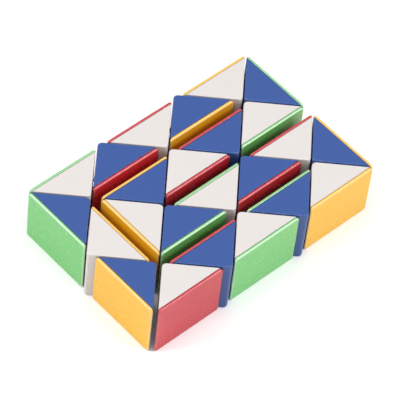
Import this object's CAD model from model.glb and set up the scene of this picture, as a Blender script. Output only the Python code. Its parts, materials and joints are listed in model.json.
import json
import math

import bmesh
import bpy
import numpy as np
from mathutils import Matrix, Vector

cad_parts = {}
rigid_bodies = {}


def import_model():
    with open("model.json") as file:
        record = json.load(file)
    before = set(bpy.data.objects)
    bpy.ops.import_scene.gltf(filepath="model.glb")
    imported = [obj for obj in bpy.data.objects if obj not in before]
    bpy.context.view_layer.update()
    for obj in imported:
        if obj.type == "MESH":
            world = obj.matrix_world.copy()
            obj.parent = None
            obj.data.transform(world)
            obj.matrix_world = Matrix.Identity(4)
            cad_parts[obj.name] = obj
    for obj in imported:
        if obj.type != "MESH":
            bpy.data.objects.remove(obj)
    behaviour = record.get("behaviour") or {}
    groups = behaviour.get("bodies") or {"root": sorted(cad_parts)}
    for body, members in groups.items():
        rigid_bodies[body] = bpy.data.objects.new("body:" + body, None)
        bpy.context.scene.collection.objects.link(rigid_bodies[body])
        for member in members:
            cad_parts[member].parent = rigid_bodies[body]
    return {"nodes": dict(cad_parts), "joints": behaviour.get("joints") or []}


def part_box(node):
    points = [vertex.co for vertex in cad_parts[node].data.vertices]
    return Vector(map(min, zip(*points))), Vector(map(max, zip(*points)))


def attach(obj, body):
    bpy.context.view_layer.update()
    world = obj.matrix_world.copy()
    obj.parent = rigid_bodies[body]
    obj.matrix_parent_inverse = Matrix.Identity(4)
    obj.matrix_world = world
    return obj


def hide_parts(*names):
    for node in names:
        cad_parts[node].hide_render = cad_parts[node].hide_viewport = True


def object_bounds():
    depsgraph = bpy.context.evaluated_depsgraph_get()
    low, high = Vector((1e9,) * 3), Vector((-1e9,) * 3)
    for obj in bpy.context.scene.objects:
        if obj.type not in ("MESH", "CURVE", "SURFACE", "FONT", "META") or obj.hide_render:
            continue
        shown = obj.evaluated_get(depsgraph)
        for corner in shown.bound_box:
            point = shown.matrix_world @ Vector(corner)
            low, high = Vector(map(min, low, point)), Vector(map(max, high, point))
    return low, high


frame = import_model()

CAD_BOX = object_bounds()
MM = 0.001
ROOT2 = math.sqrt(2)
NODES = set(frame["nodes"])
JOINTS = frame["joints"]

# Sizes inside the pieces, in metres. Everything else is measured on the frame.
HALF = (CAD_BOX[1].z - CAD_BOX[0].z) / 2
WALL = 1.2 * MM
# How far a square face stands off its pitch line, linked and at the chain's free ends.
FACE = 0.2 * MM
FREE_FACE = 0.7 * MM
# The upright right-angle edge is rounder at its top and bottom, over this blend.
CORNER_ROUNDING = 0.8 * MM
TOP_CORNER_ROUNDING = 1.35 * MM
CORNER_BLEND = 1.5 * MM
BLEND_DEPTHS = (0.45 * MM, 0.7 * MM, 1.0 * MM, 1.5 * MM)
EDGE_ROUNDING = 0.26 * MM
# The share of the edges' rounding that the slanted side has.
SLANT_ROUNDING = 0.6
HOLLOW_CORNER = 0.4 * MM
CAP_THICKNESS = 1.0 * MM
CAP_CORNER = 1.1 * MM
CAP_EDGE = 0.58 * MM
CAP_END = 0.34 * MM
CAP_BACK_EDGE = 0.18 * MM
CAP_GROOVE = 0.15 * MM
CAP_WAIST = 0.35 * MM
PLUG_DEPTH = 1.2 * MM
PLUG_WALL = 0.8 * MM
PLUG_PLAY = 0.05 * MM
PLUG_CORNER = 0.3 * MM
BOSS_RADIUS = 2.0 * MM
BOSS_END = 3.9 * MM
BITE_RADIUS = 1.02 * MM
TURN_RADIUS = 1.06 * MM
NUB_DISTANCE = 4.4 * MM
NUB_RADIUS = 0.6 * MM
NUB_HEIGHT = 0.25 * MM
DIMPLE_RADIUS = 0.75 * MM
DIMPLE_DEPTH = 0.2 * MM
# How far a cutting tool runs past what it cuts, and the longest sliver a cut may leave.
OVERRUN = 1.0 * MM
SLIVER = 0.001 * MM

# Depths along a joint's axis, from the middle of its seam into the wedges.
WALL_END = FACE + WALL
WASHER_AT = 2.9 * MM
HEAD_AT = 3.2 * MM
HEAD_END = 4.1 * MM
SCREW_END = 3.5 * MM
WASHER_RADIUS = 1.75 * MM
WASHER_BORE = 1.08 * MM
HEAD_RADIUS = 1.6 * MM
SCREW_RADIUS = 0.98 * MM
WIRE_RADIUS = 0.17 * MM
COIL_RADIUS = 1.5 * MM
COILS = 3.25
# The gap left between steel pieces that touch.
STEEL_GAP = 0.02 * MM
THREAD_PITCH = 0.5 * MM
THREAD_DEPTH = 0.17 * MM
THREAD_RUN_IN = 0.4 * MM
POINT_LENGTH = 0.7 * MM
POINT_SHARE = 0.25


# ------------------------------------------------------------------ camera

AZIMUTH = math.radians(-47.47)
ELEVATION = math.radians(51.26)
ROLL = math.radians(7.16)
DISTANCE = 0.766
AIM_RIGHT = 0.73 * MM
AIM_UP = 5.65 * MM
FIELD_OF_VIEW = math.radians(8.416)
# The grid of pitches lies this far along +X from the middle of the box.
CENTRING = 0.42 * MM


def camera():
    """A long lens from above one corner, turned a little about its own axis."""
    level = math.cos(ELEVATION)
    forward = Vector((-math.sin(AZIMUTH) * level, math.cos(AZIMUTH) * level,
                      -math.sin(ELEVATION)))
    flat_right = Vector((math.cos(AZIMUTH), math.sin(AZIMUTH), 0))
    flat_up = flat_right.cross(forward)
    right = flat_right * math.cos(ROLL) + flat_up * math.sin(ROLL)
    up = flat_up * math.cos(ROLL) - flat_right * math.sin(ROLL)
    centre = Vector(((CAD_BOX[0].x + CAD_BOX[1].x) / 2 + CENTRING, 0, 0))
    data = bpy.data.cameras.new("camera")
    data.angle = FIELD_OF_VIEW
    data.clip_start = 0.02
    data.clip_end = 20
    seat = bpy.data.objects.new("camera", data)
    turn = Matrix((right, up, -forward)).transposed().to_4x4()
    place = centre + right * AIM_RIGHT + up * AIM_UP - forward * DISTANCE
    seat.matrix_world = Matrix.Translation(place) @ turn
    bpy.context.scene.collection.objects.link(seat)
    bpy.context.scene.camera = seat


camera()


# ---------------------------------------------------------------- finishes

class Number:
    """A number socket that Python's own operators work on."""

    def __init__(self, finish, socket):
        self.finish = finish
        self.socket = socket

    def maths(self, operation, *others):
        values = dict(enumerate([self, *others]))
        return self.finish.number("ShaderNodeMath", {"operation": operation}, values)

    def reflected(self, operation, other):
        return self.finish.number("ShaderNodeMath", {"operation": operation},
                                  {0: other, 1: self})

    def __add__(self, other):
        return self.maths("ADD", other)

    def __sub__(self, other):
        return self.maths("SUBTRACT", other)

    def __mul__(self, other):
        return self.maths("MULTIPLY", other)

    def __rsub__(self, other):
        return self.reflected("SUBTRACT", other)

    __radd__ = __add__

    def __abs__(self):
        return self.maths("ABSOLUTE")

    def over(self, low, high):
        """0 below low, 1 above high, smooth between."""
        settings = {"interpolation_type": "SMOOTHSTEP"}
        values = {"Value": self, "From Min": low, "From Max": high}
        return self.finish.number("ShaderNodeMapRange", settings, values)


class Finish:
    """A material, built node by node."""

    def __init__(self, name):
        self.material = bpy.data.materials.new(name)
        self.material.use_nodes = True
        self.tree = self.material.node_tree
        self.tree.nodes.clear()

    def node(self, kind, settings=None, values=None):
        made = self.tree.nodes.new(kind)
        for name, setting in (settings or {}).items():
            setattr(made, name, setting)
        for key, value in (values or {}).items():
            socket = made.inputs[key]
            if isinstance(value, Number):
                self.tree.links.new(value.socket, socket)
            elif isinstance(value, bpy.types.NodeSocket):
                self.tree.links.new(value, socket)
            else:
                socket.default_value = value
        return made

    def number(self, kind, settings=None, values=None, output=0):
        return Number(self, self.node(kind, settings, values).outputs[output])

    def mix(self, factor, low, high):
        """A colour between two colours."""
        values = {0: factor, 6: low, 7: high}
        return self.node("ShaderNodeMix", {"data_type": "RGBA"}, values).outputs[2]

    def place(self, spread):
        """Positions on the piece itself, moved by a different amount for each piece."""
        own = self.node("ShaderNodeTexCoord").outputs["Object"]
        chance = self.node("ShaderNodeObjectInfo").outputs["Random"]
        moved = self.node("ShaderNodeVectorMath", {"operation": "SCALE"},
                          {0: (spread, -spread, spread * 0.7), "Scale": chance})
        return self.node("ShaderNodeVectorMath", {"operation": "ADD"},
                         {0: own, 1: moved.outputs[0]}).outputs[0]

    def noise(self, place, size, detail, roughness=0.5):
        """Soft random patches of about the given size."""
        values = {"Vector": place, "Scale": 1 / size, "Detail": detail,
                  "Roughness": roughness}
        return self.number("ShaderNodeTexNoise", None, values)

    def close(self, **values):
        """Ends the material in one Principled shader."""
        values = {key.replace("_", " "): value for key, value in values.items()}
        shader = self.node("ShaderNodeBsdfPrincipled", None, values)
        self.node("ShaderNodeOutputMaterial", None, {"Surface": shader.outputs[0]})
        return self.material


# Sizes and heights of what varies over the surfaces.
GRAIN_SIZE, GRAIN_HEIGHT = 0.22 * MM, 0.0012 * MM
WAVE_SIZE, WAVE_HEIGHT = 7 * MM, 0.02 * MM
MOTTLE_SIZE = 2.2 * MM
WEAR_SIZE = 1.3 * MM
HAIRLINE_SIZE = 14 * MM
TURNING_SIZE, TURNING_HEIGHT = 1.2 * MM, 0.006 * MM
DULL_SIZE = 0.6 * MM


def shade(colour, factor):
    """The colour made darker or lighter."""
    return tuple(min(1.0, channel * factor) for channel in colour) + (1.0,)


def paler(colour, amount):
    """The colour brought towards white."""
    return tuple(channel + (1 - channel) * amount for channel in colour) + (1.0,)


def moulded_plastic(name, colour, gloss, rim, index):
    """Injection-moulded plastic: a fine spark-eroded grain, slow waves where it cooled,
    a few hairline scratches, and edges rubbed paler (by "rim" all along) and smoother."""
    finish = Finish(name)
    place = finish.place(3.1)
    grain = finish.noise(place, GRAIN_SIZE, 1.0)
    waves = finish.noise(place, WAVE_SIZE, 1.0)
    mottle = finish.noise(place, MOTTLE_SIZE, 3.0, 0.55)
    rubbed = finish.noise(place, WEAR_SIZE, 4.0, 0.65)
    edge = finish.number("ShaderNodeAttribute", {"attribute_name": "edge"}, None, "Fac")

    # Hairlines: stretched noise, kept only along its middle value.
    squeezed = finish.node("ShaderNodeMapping", None, {
        "Vector": place, "Rotation": (0.3, 0.2, 0.9), "Scale": (1, 8, 2.5)})
    lines = finish.noise(squeezed.outputs[0], HAIRLINE_SIZE, 0.0)
    hairline = (1 - abs(lines - 0.5).over(0.0004, 0.0014)) * mottle.over(0.60, 0.74)

    wear = edge * rubbed.over(0.42, 0.72)
    tone = finish.mix(mottle.over(0.25, 0.75), shade(colour, 0.992), shade(colour, 1.008))
    tone = finish.mix(waves.over(0.3, 0.7) * 0.35, tone, shade(colour, 0.968))
    tone = finish.mix(edge * rim + wear * 0.16, tone, paler(colour, 0.34))
    tone = finish.mix(hairline * 0.04, tone, paler(colour, 0.35))

    roughness = gloss + (mottle - 0.5) * 0.03 + grain * 0.02
    roughness = roughness - wear * 0.07 + hairline * 0.03
    height = grain * GRAIN_HEIGHT + waves * WAVE_HEIGHT
    bump = finish.node("ShaderNodeBump", None,
                       {"Strength": 0.75, "Distance": 1.0, "Height": height})
    return finish.close(Base_Color=tone, Roughness=roughness, Normal=bump.outputs[0],
                        IOR=index)


def plated_steel(name, colour):
    """Bright zinc-plated steel with faint turning marks and a little dulling."""
    finish = Finish(name)
    place = finish.place(1.7)
    turned = finish.node("ShaderNodeMapping", None,
                         {"Vector": place, "Scale": (1, 1, 14)})
    marks = finish.noise(turned.outputs[0], TURNING_SIZE, 4.0, 0.7)
    dull = finish.noise(place, DULL_SIZE, 3.0, 0.6)
    tone = finish.mix(dull.over(0.35, 0.75), shade(colour, 0.82), shade(colour, 1.12))
    bump = finish.node("ShaderNodeBump", None, {
        "Strength": 0.6, "Distance": 1.0, "Height": marks * TURNING_HEIGHT})
    return finish.close(Base_Color=tone, Roughness=0.24 + marks * 0.16 + dull * 0.08,
                        Metallic=1.0, Normal=bump.outputs[0])


# Each plastic's colour, gloss, how pale its rims are, and its index of refraction.
PLASTICS = {
    "shell_blue": ((0.036, 0.084, 0.280), 0.36, 0.0, 1.46),
    "shell_white": ((0.615, 0.578, 0.563), 0.36, 0.0, 1.46),
    "cap_yellow": ((0.790, 0.425, 0.014), 0.26, 0.42, 1.46),
    "cap_green": ((0.112, 0.470, 0.104), 0.26, 0.75, 1.75),
    "cap_red": ((0.492, 0.015, 0.031), 0.26, 0.15, 1.50),
}
FINISHES = {name: moulded_plastic(name, *look) for name, look in PLASTICS.items()}
FINISHES["steel"] = plated_steel("steel", (0.60, 0.61, 0.63))


# ---------------------------------------------------------- mesh building

def finished(bm, name):
    """The mesh of what was built, with its faces pointing out."""
    bmesh.ops.recalc_face_normals(bm, faces=bm.faces)
    mesh = bpy.data.meshes.new(name)
    bm.to_mesh(mesh)
    bm.free()
    return mesh


def loft(bm, rings, closed=False):
    """Skins a stack of rings of points, all with the same count. An open stack gets a
    flat face on its first and last ring; a closed one runs back to its first."""
    loops = [[bm.verts.new(point) for point in ring] for ring in rings]
    count = len(loops[0])
    pairs = list(zip(loops, loops[1:]))
    if closed:
        pairs.append((loops[-1], loops[0]))
    for below, above in pairs:
        for i in range(count):
            j = (i + 1) % count
            bm.faces.new((below[i], below[j], above[j], above[i]))
    if not closed:
        bm.faces.new(loops[0][::-1])
        bm.faces.new(loops[-1])
    return [vert for ring in loops for vert in ring]


def circle(radius, z, steps):
    turn = 2 * math.pi / steps
    return [(radius * math.cos(turn * i), radius * math.sin(turn * i), z)
            for i in range(steps)]


def tube(bm, radius, low, high, turn, steps=40):
    verts = loft(bm, [circle(radius, low, steps), circle(radius, high, steps)])
    bmesh.ops.transform(bm, matrix=turn, verts=verts)


def applied(mesh, kind, **settings):
    """The mesh with one modifier applied."""
    carrier = bpy.data.objects.new("carrier", mesh)
    bpy.context.scene.collection.objects.link(carrier)
    step = carrier.modifiers.new("step", kind)
    for name, value in settings.items():
        setattr(step, name, value)
    depsgraph = bpy.context.evaluated_depsgraph_get()
    made = bpy.data.meshes.new_from_object(carrier.evaluated_get(depsgraph))
    made.name = mesh.name
    bpy.data.objects.remove(carrier)
    return made


def carved(mesh, tool, operation):
    """The mesh after a boolean with the tool's mesh, without the slivers it leaves."""
    cutter = bpy.data.objects.new("cutter", tool)
    bpy.context.scene.collection.objects.link(cutter)
    made = applied(mesh, "BOOLEAN", operation=operation, solver="EXACT", object=cutter)
    bpy.data.objects.remove(cutter)
    bm = bmesh.new()
    bm.from_mesh(made)
    bmesh.ops.dissolve_degenerate(bm, dist=SLIVER, edges=bm.edges)
    bm.to_mesh(made)
    bm.free()
    return made


def dressed(mesh, flats, sharp_angle=40):
    """Smooth roundings that run into truly flat faces. Faces that aren't one of the flats
    are marked as edge, for the wear in the finishes."""
    count = len(mesh.polygons)
    normals = np.zeros(count * 3)
    mesh.polygons.foreach_get("normal", normals)
    flatness = np.max(np.abs(normals.reshape(-1, 3) @ np.array(flats).T), axis=1)
    mark = mesh.attributes.new("edge", "FLOAT", "FACE")
    mark.data.foreach_set("value", (flatness < 0.995).astype(np.float32))
    mesh.polygons.foreach_set("use_smooth", [True] * count)
    mesh.set_sharp_from_angle(angle=math.radians(sharp_angle))
    return applied(mesh, "WEIGHTED_NORMAL", weight=100, keep_sharp=True)


WEDGE_FLATS = [(0, 0, 1), (1, 0, 0), (0, 1, 0), (1 / ROOT2, 1 / ROOT2, 0)]
STEEL_FLATS = [(0, 0, 1)]


def leg_offsets(linked):
    """How far the square faces on a wedge's Y leg and X leg stand off its pitch lines."""
    return (FACE if "y" in linked else FREE_FACE,
            FACE if "x" in linked else FREE_FACE)


def seam_frames(pitch, linked):
    """The middle of the seam on each linked face, +Z pointing into the wedge."""
    frames = {}
    if "x" in linked:
        frames["x"] = (Matrix.Translation((pitch / 2, 0, 0))
                       @ Matrix.Rotation(-math.pi / 2, 4, "X"))
    if "y" in linked:
        frames["y"] = (Matrix.Translation((0, pitch / 2, 0))
                       @ Matrix.Rotation(math.pi / 2, 4, "Y"))
    return frames


def four_spots(turn, distance):
    """Four places round a joint's axis, a quarter turn apart."""
    outward = Matrix.Translation((distance, 0, 0))
    return [turn @ Matrix.Rotation(math.pi / 2 * i, 4, "Z") @ outward for i in range(4)]


# ------------------------------------------------------------------ shells

def wedge_ring(x, y, slant, inset, rounding, z, steps=8):
    """One level of a wedge's outside: a rounded right angle and two sharp ends."""
    x += inset
    y += inset
    points = []
    for i in range(steps + 1):
        a = math.pi + math.pi / 2 * i / steps
        points.append((x + rounding + rounding * math.cos(a),
                       y + rounding + rounding * math.sin(a), z))
    slant -= ROOT2 * SLANT_ROUNDING * inset
    points.append((slant - y, y, z))
    points.append((x, slant - x, z))
    return points


def wedge_levels():
    """Heights, insets and corner roundings from the bottom of a wedge to its top."""
    rows = []
    for i in range(5):
        a = math.pi / 2 * i / 4
        rows.append((EDGE_ROUNDING * (1 - math.cos(a)),
                     EDGE_ROUNDING * (1 - math.sin(a))))
    rows += [(depth, 0.0) for depth in BLEND_DEPTHS]
    levels = []
    for depth, inset in rows:
        share = min(1.0, depth / CORNER_BLEND)
        ease = (1 - share) ** 2
        rounding = CORNER_ROUNDING + (TOP_CORNER_ROUNDING - CORNER_ROUNDING) * ease
        levels.append((-HALF + depth, inset, rounding))
    return levels + [(-z, inset, rounding) for z, inset, rounding in reversed(levels)]


def shell_mesh(pitch, slant, linked, blue):
    """A hollow wedge, its right angle at the origin and its legs along +X and +Y. The
    slanted side, where x + y equals slant, is open for the cap."""
    x, y = leg_offsets(linked)
    bm = bmesh.new()
    loft(bm, [wedge_ring(x, y, slant, inset, rounding, z)
              for z, inset, rounding in wedge_levels()])
    mesh = finished(bm, "shell")

    bm = bmesh.new()
    beyond = slant + 2 * OVERRUN
    loft(bm, [wedge_ring(x + WALL, y + WALL, beyond, 0, HOLLOW_CORNER, z)
              for z in (-HALF + WALL, HALF - WALL)])
    mesh = carved(mesh, finished(bm, "hollow"), "DIFFERENCE")

    frames = seam_frames(pitch, linked).values()
    if blue:
        bm = bmesh.new()
        for turn in frames:
            tube(bm, BOSS_RADIUS, WALL_END - WALL / 2, BOSS_END, turn)
            for spot in four_spots(turn, NUB_DISTANCE):
                rings = [circle(NUB_RADIUS, FACE + WALL / 2, 20)]
                for i in range(5):
                    a = math.pi / 2 * i / 5
                    rings.append(circle(NUB_RADIUS * math.cos(a),
                                        FACE - NUB_HEIGHT * math.sin(a), 20))
                bmesh.ops.transform(bm, matrix=spot, verts=loft(bm, rings))
        mesh = carved(mesh, finished(bm, "bosses"), "UNION")
    bm = bmesh.new()
    for turn in frames:
        tube(bm, BITE_RADIUS if blue else TURN_RADIUS, -OVERRUN, BOSS_END + OVERRUN, turn)
        if not blue:
            for spot in four_spots(turn, NUB_DISTANCE):
                tube(bm, DIMPLE_RADIUS, -OVERRUN, FACE + DIMPLE_DEPTH, spot, 20)
    mesh = carved(mesh, finished(bm, "holes"), "DIFFERENCE")
    return dressed(mesh, WEDGE_FLATS)


# -------------------------------------------------------------------- caps

def cap_profile():
    """Depths, insets of the long edges and insets of the ends, from a cap's back to its
    front. The ends lean out with the wedge's legs and come to a rounded nose."""
    nose = CAP_THICKNESS - CAP_END * (1 + 1 / ROOT2)
    middle = CAP_THICKNESS - CAP_END
    depths = [CAP_GROOVE + CAP_BACK_EDGE * (1 - math.cos(math.pi / 2 * i / 3))
              for i in range(4)]
    depths += [CAP_WAIST, nose, CAP_THICKNESS - CAP_EDGE]
    depths += [CAP_THICKNESS - CAP_EDGE * (1 - math.sin(math.pi / 2 * i / 8))
               for i in range(1, 9)]
    rows = []
    for depth in sorted(set(round(d, 9) for d in depths)):
        back = max(0.0, CAP_GROOVE + CAP_BACK_EDGE - depth)
        long_inset = CAP_BACK_EDGE - math.sqrt(max(0.0, CAP_BACK_EDGE ** 2 - back ** 2))
        front = max(0.0, depth - (CAP_THICKNESS - CAP_EDGE))
        long_inset += CAP_EDGE - math.sqrt(max(0.0, CAP_EDGE ** 2 - front ** 2))
        if depth <= nose:
            end_inset = 0.0
        else:
            reach = math.sqrt(max(0.0, CAP_END ** 2 - (depth - middle) ** 2))
            end_inset = depth - (middle - ROOT2 * CAP_END + reach)
        rows.append((depth, long_inset, end_inset))
    return rows


def rounded_rectangle(left, right, tall, rounding, depth, steps=7):
    """A ring of points, from left to right and as far below the middle as above it."""
    points = []
    corners = ((right, -1, -90), (right, 1, 0), (left, 1, 90), (left, -1, 180))
    for across, up, start in corners:
        inward = -1 if across == right else 1
        for i in range(steps + 1):
            a = math.radians(start + 90 * i / steps)
            points.append((across + inward * rounding + rounding * math.cos(a),
                           up * (tall - rounding) + rounding * math.sin(a), depth))
    return points


def cap_mesh(slant, linked):
    """The plate that closes a wedge's slanted side, with a hollow plug on its back, in
    the wedge's own frame. Its front lies where x + y equals slant."""
    x, y = leg_offsets(linked)
    back = slant / ROOT2 - CAP_THICKNESS

    def ends(depth, inset=0.0):
        """Where the wedge's legs meet a line along the slanted side at this depth."""
        out = back + depth
        return ROOT2 * (x + inset) - out, out - ROOT2 * (y + inset)

    rings = []
    for depth, long_inset, end_inset in cap_profile():
        left, right = ends(depth)
        rings.append(rounded_rectangle(left + end_inset, right - end_inset,
                                       HALF - long_inset, CAP_CORNER - long_inset,
                                       back + depth))
    bm = bmesh.new()
    loft(bm, rings)
    plate = finished(bm, "cap")

    gap = WALL + PLUG_PLAY
    rings = []
    root = CAP_THICKNESS / 2
    for inset, depth in ((gap, root), (gap, -PLUG_DEPTH),
                         (gap + PLUG_WALL, -PLUG_DEPTH), (gap + PLUG_WALL, root)):
        left, right = ends(min(depth, CAP_GROOVE), inset)
        rings.append(rounded_rectangle(left, right, HALF - inset, PLUG_CORNER,
                                       back + depth, 3))
    bm = bmesh.new()
    loft(bm, rings, closed=True)
    mesh = carved(plate, finished(bm, "plug"), "UNION")

    along = Vector((1, -1, 0)) / ROOT2
    up = Vector((0, 0, 1))
    out = Vector((1, 1, 0)) / ROOT2
    mesh.transform(Matrix((along, up, out)).transposed().to_4x4())
    mesh.flip_normals()
    return dressed(mesh, WEDGE_FLATS)


# -------------------------------------------------- screws, washers, springs

def lathe(bm, profile, steps):
    """Turns a closed (radius, z) profile about Z."""
    rings = []
    for i in range(steps):
        a = 2 * math.pi * i / steps
        rings.append([(r * math.cos(a), r * math.sin(a), z) for r, z in profile])
    loft(bm, rings, closed=True)


def thread_ring(z, around):
    """One level of a screw's thread, which runs in from the shank and to the point."""
    start = min(1.0, (z - FACE) / THREAD_RUN_IN)
    taper = min(1.0, (SCREW_END - z) / POINT_LENGTH)
    ring = []
    for i in range(around):
        phase = (z / THREAD_PITCH - i / around) % 1
        ridge = abs(2 * phase - 1) ** 1.6
        r = SCREW_RADIUS - THREAD_DEPTH * (1 - ridge) * start
        r *= POINT_SHARE + (1 - POINT_SHARE) * taper
        a = 2 * math.pi * i / around
        ring.append((r * math.cos(a), r * math.sin(a), z))
    return ring


def screw_mesh():
    """A pan-headed screw with a cross recess and a sharp thread, point along +Z."""
    around = 28
    top = -HEAD_END
    crown = [(top, 0.35), (top + 0.03 * MM, 0.75), (top + 0.14 * MM, 0.93),
             (top + 0.34 * MM, 1.0), (-HEAD_AT - 0.08 * MM, 1.0), (-HEAD_AT, 0.95)]
    rings = [circle(HEAD_RADIUS * share, z, around) for z, share in crown]
    for z in (-HEAD_AT, -HEAD_AT + 0.2 * MM, FACE - 0.05 * MM):
        rings.append(circle(SCREW_RADIUS, z, around))
    steps = int((SCREW_END - FACE) / THREAD_PITCH * 8)
    rings += [thread_ring(FACE + (SCREW_END - FACE) * i / steps, around)
              for i in range(steps + 1)]
    bm = bmesh.new()
    loft(bm, rings)
    mesh = finished(bm, "screw")

    # The recess: two crossing arms, half-lengths and half-widths above and below.
    for quarter in (0, math.pi / 2):
        arm = []
        for z, across, wide in ((top - 0.1 * MM, 0.92 * MM, 0.21 * MM),
                                (top + 0.5 * MM, 0.6 * MM, 0.14 * MM)):
            arm.append([(-across, -wide, z), (across, -wide, z), (across, wide, z),
                        (-across, wide, z)])
        bm = bmesh.new()
        loft(bm, arm)
        bmesh.ops.transform(bm, matrix=Matrix.Rotation(quarter, 4, "Z"), verts=bm.verts)
        mesh = carved(mesh, finished(bm, "recess"), "DIFFERENCE")
    bm = bmesh.new()
    bm.from_mesh(mesh)
    bmesh.ops.triangulate(bm, faces=bm.faces)
    bm.to_mesh(mesh)
    bm.free()
    return dressed(mesh, STEEL_FLATS, 35)


def washer_mesh():
    """A punched washer: one edge rounded by the punch, the other crisp."""
    low = -HEAD_AT + STEEL_GAP
    high = -WASHER_AT - STEEL_GAP
    soft = 0.07 * MM
    bend = soft * 0.3
    crisp = soft * 0.4
    profile = [(WASHER_BORE + soft, low), (WASHER_RADIUS - soft, low),
               (WASHER_RADIUS - bend, low + bend), (WASHER_RADIUS, low + soft),
               (WASHER_RADIUS, high - crisp), (WASHER_RADIUS - crisp, high),
               (WASHER_BORE + crisp, high), (WASHER_BORE, high - crisp),
               (WASHER_BORE, low + soft), (WASHER_BORE + bend, low + bend)]
    bm = bmesh.new()
    lathe(bm, profile, 40)
    return dressed(finished(bm, "washer"), STEEL_FLATS, 35)


def spring_mesh():
    """A compression spring of round wire with closed ends."""
    low = -WASHER_AT + STEEL_GAP + WIRE_RADIUS
    high = -WALL_END - STEEL_GAP - WIRE_RADIUS
    closed = 0.14
    closed_rise = 0.22
    around = 10
    steps = int(COILS * 28)
    rings = []
    for i in range(steps + 1):
        share = i / steps
        a = 2 * math.pi * COILS * share
        rise = min(1.0, max(0.0, (share - closed) / (1 - 2 * closed)))
        ends = (min(share, closed) + max(0.0, share - (1 - closed))) / closed
        rise = min(1.0, (rise + closed_rise * ends / 2) / (1 + closed_rise))
        outward = Vector((math.cos(a), math.sin(a), 0))
        centre = outward * COIL_RADIUS + Vector((0, 0, low + (high - low) * rise))
        ring = []
        for j in range(around):
            b = 2 * math.pi * j / around
            ring.append(centre + outward * (WIRE_RADIUS * math.cos(b))
                        + Vector((0, 0, WIRE_RADIUS * math.sin(b))))
        rings.append(ring)
    bm = bmesh.new()
    loft(bm, rings)
    return dressed(finished(bm, "spring"), STEEL_FLATS, 50)


# ---------------------------------------------------------------- assembly

class Wedge:
    """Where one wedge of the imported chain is, and which of its legs are linked."""

    def __init__(self, number):
        self.number = number
        self.body = f"wedge_{number:02d}"
        self.blue = self.body + "_screw_set" in NODES
        shell_low, shell_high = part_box(self.body + "_shell")
        cap_low, cap_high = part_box(self.body + "_cap")
        away = (cap_low + cap_high) / 2 - (shell_low + shell_high) / 2
        if abs(away.x) > abs(away.y):
            out = Vector((math.copysign(1, away.x), 0, 0))
        else:
            out = Vector((0, math.copysign(1, away.y), 0))
        joints = [joint for joint in JOINTS
                  if self.body in (joint["parent"], joint["child"])]
        axis = joints[0]["axis"]
        leg = Vector((-axis[1], axis[0], 0))
        if leg.dot(out) < 0:
            leg = -leg
        corner = Vector(joints[0]["pos_m"]) - leg * (PITCH / 2)
        turn = math.atan2(out.y, out.x) - math.pi / 4
        self.matrix = Matrix.Translation(corner) @ Matrix.Rotation(turn, 4, "Z")
        self.legs = {}
        for joint in joints:
            local = self.matrix.inverted() @ Vector(joint["pos_m"])
            self.legs["x" if local.x > local.y else "y"] = joint["name"]
        self.linked = "".join(sorted(self.legs))
        reach = max(out.dot(cap_low), out.dot(cap_high)) - out.dot(corner)
        self.slant = ROOT2 * reach


def pitch_of_chain():
    """Two joints of one wedge are half the pitch times root 2 apart."""
    first, second = (Vector(joint["pos_m"]) for joint in JOINTS[:2])
    return ROOT2 * (second - first).length


def add(name, mesh, matrix, body, slot, *nodes):
    """A piece of its own, with its place in its mesh, riding on a body."""
    mesh = mesh.copy()
    mesh.name = name
    mesh.materials.clear()
    mesh.materials.append(FINISHES[slot])
    mesh.transform(matrix)
    piece = bpy.data.objects.new(name, mesh)
    bpy.context.scene.collection.objects.link(piece)
    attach(piece, body)
    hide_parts(*nodes)


# The caps' colours, in pairs along the chain.
CAP_SLOTS = ("cap_yellow", "cap_green", "cap_red")
PITCH = pitch_of_chain()
shells, caps = {}, {}
screw, washer, spring = screw_mesh(), washer_mesh(), spring_mesh()

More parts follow.
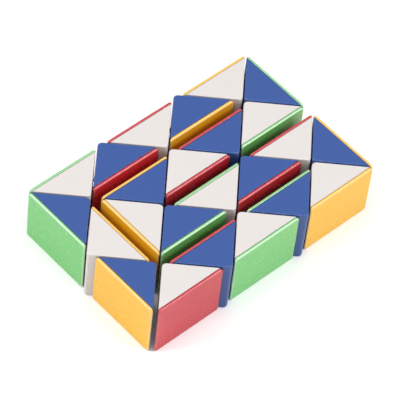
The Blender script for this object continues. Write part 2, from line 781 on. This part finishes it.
for wedge in [Wedge(number) for number in range(1, len(JOINTS) + 2)]:
    number = f"{wedge.number:02d}"
    kind = (wedge.linked, wedge.blue)
    if kind not in shells:
        shells[kind] = shell_mesh(PITCH, wedge.slant - ROOT2 * CAP_THICKNESS, *kind)
    if wedge.linked not in caps:
        caps[wedge.linked] = cap_mesh(wedge.slant, wedge.linked)
    add(f"shell_{number}", shells[kind], wedge.matrix, wedge.body,
        "shell_blue" if wedge.blue else "shell_white", wedge.body + "_shell")
    add(f"cap_{number}", caps[wedge.linked], wedge.matrix, wedge.body,
        CAP_SLOTS[(wedge.number - 1) // 2 % len(CAP_SLOTS)], wedge.body + "_cap")
    if wedge.blue:
        for leg, turn in seam_frames(PITCH, wedge.linked).items():
            place = wedge.matrix @ turn
            joint = wedge.legs[leg][-2:]
            for part, mesh in (("screw", screw), ("washer", washer), ("spring", spring)):
                add(f"{part}_{joint}", mesh, place, wedge.body, "steel",
                    wedge.body + "_screw_set")


# ---------------------------------------------------------- floor and light

FLOOR_REACH = 6
FLOOR_WHITE = 0.98
WORLD_STRENGTH = 0.42
# Each soft box's name, place, side and power in watts. All face the middle of the floor.
SOFT_BOXES = (
    ("top_light", (-0.10, -0.05, 1.1), 0.7, 4.6),
    ("right_light", (0.50, -0.72, 0.70), 0.4, 6.8),
    ("left_light", (-0.72, 0.50, 0.70), 0.4, 6.8),
)


def pale_floor():
    """A plain white floor."""
    bm = bmesh.new()
    bmesh.ops.create_grid(bm, x_segments=1, y_segments=1, size=FLOOR_REACH)
    floor = bpy.data.objects.new("floor", finished(bm, "floor"))
    floor.location.z = CAD_BOX[0].z
    finish = Finish("floor")
    white = (FLOOR_WHITE, FLOOR_WHITE, FLOOR_WHITE, 1)
    matt = finish.node("ShaderNodeBsdfDiffuse", None, {"Color": white})
    finish.node("ShaderNodeOutputMaterial", None, {"Surface": matt.outputs[0]})
    floor.data.materials.append(finish.material)
    bpy.context.scene.collection.objects.link(floor)


def soft_box(name, place, side, power):
    data = bpy.data.lights.new(name, "AREA")
    data.shape = "SQUARE"
    data.size = side
    data.energy = power
    lamp = bpy.data.objects.new(name, data)
    lamp.location = place
    lamp.rotation_euler = (-Vector(place)).to_track_quat("-Z", "Y").to_euler()
    bpy.context.scene.collection.objects.link(lamp)


def surroundings(strength):
    world = bpy.data.worlds.new("studio")
    world.use_nodes = True
    background = world.node_tree.nodes["Background"]
    background.inputs["Color"].default_value = (1, 1, 1, 1)
    background.inputs["Strength"].default_value = strength
    bpy.context.scene.world = world


pale_floor()
surroundings(WORLD_STRENGTH)
for box in SOFT_BOXES:
    soft_box(*box)
bpy.context.scene.view_settings.view_transform = "Standard"
